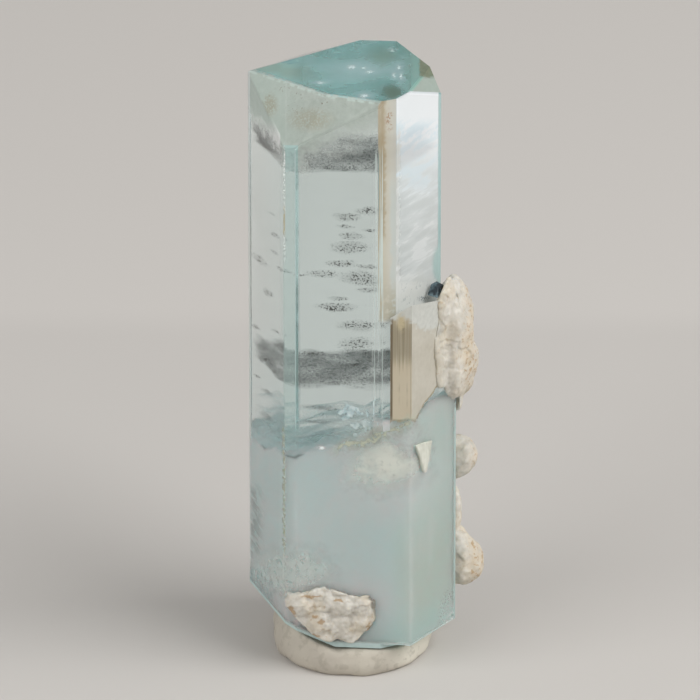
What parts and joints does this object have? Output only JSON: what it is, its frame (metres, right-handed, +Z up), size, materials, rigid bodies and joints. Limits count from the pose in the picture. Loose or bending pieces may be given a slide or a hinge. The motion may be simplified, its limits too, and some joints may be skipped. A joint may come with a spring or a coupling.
{
  "type": "aquamarine crystal specimen",
  "caption": "Tall six-sided aquamarine prism, clear above and cloudy below, with cream feldspar grown on its side and foot, standing in a pressed dab of mineral tack.",
  "frame": {"origin": "centre of the tack's flat underside, at the level the specimen stands on", "axes": "+Z up the prism's long axis, +Y through its back face, +X towards the side that carries most of the feldspar"},
  "size_m": [0.0205, 0.0165, 0.0544],
  "materials": {
    "aquamarine": "gloss",
    "albite": "matt",
    "schorl": "gloss",
    "mineral_tack": "matt"
  },
  "bodies": {
    "root": {"aquamarine_crystal": "aquamarine", "albite_cluster": "albite", "albite_knob_middle": "albite", "albite_knob_lower": "albite", "albite_foot": "albite", "albite_tooth": "albite", "schorl_chip": "schorl", "tack_pad": "mineral_tack"}
  },
  "joints": []
}
